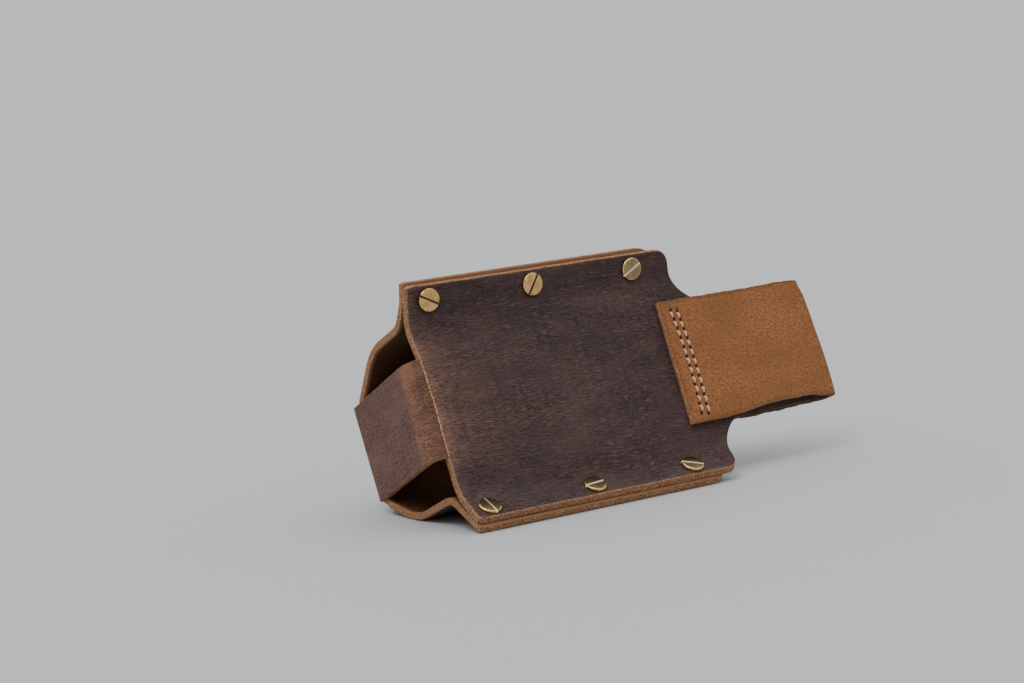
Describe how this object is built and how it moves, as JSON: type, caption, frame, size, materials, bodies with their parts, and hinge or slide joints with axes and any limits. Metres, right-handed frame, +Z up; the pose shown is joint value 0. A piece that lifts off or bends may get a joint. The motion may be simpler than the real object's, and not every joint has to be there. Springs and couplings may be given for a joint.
{
  "type": "leather tool pouch",
  "caption": "Folded leather tool pouch with a round pocket, screwed side flanges and a sewn belt loop, lying on its side.",
  "frame": {"origin": "bottom centre of the bounding box, with the pouch lying on its side on its lower flange's edge and its belly", "axes": "+X along the pouch from its bottom strap to its mouth and belt loop, +Z up, +Y from the back panel to the belly, which is tipped down by the pouch's lean"},
  "size_m": [0.1976, 0.092, 0.0942],
  "materials": {
    "leather_grain": "waxed, matt",
    "leather_suede": "suede nap",
    "brass": "polished",
    "thread": "waxed thread"
  },
  "bodies": {
    "pouch": {"back_panel": "leather_grain", "front_panel": "leather_grain", "bottom_strap": "leather_grain", "belt_loop_end": "leather_suede", "seam_thread_outer": "thread", "seam_thread_inner": "thread", "screw_top_1": "brass", "screw_top_2": "brass", "screw_top_3": "brass", "screw_bottom_1": "brass", "screw_bottom_2": "brass", "screw_bottom_3": "brass", "post_top_1": "brass", "post_top_2": "brass", "post_top_3": "brass", "post_bottom_1": "brass", "post_bottom_2": "brass", "post_bottom_3": "brass"},
    "loop": {"belt_loop": "leather_suede"}
  },
  "joints": [
    {"name": "loop_flex", "type": "hinge", "parent": "pouch", "child": "loop", "pos_m": [0.03731, -0.0208, 0.04685], "axis": [0, 0.3841, 0.9233], "range_deg": [-30, 30], "stiffness_Nm_per_rad": 0.4}
  ]
}
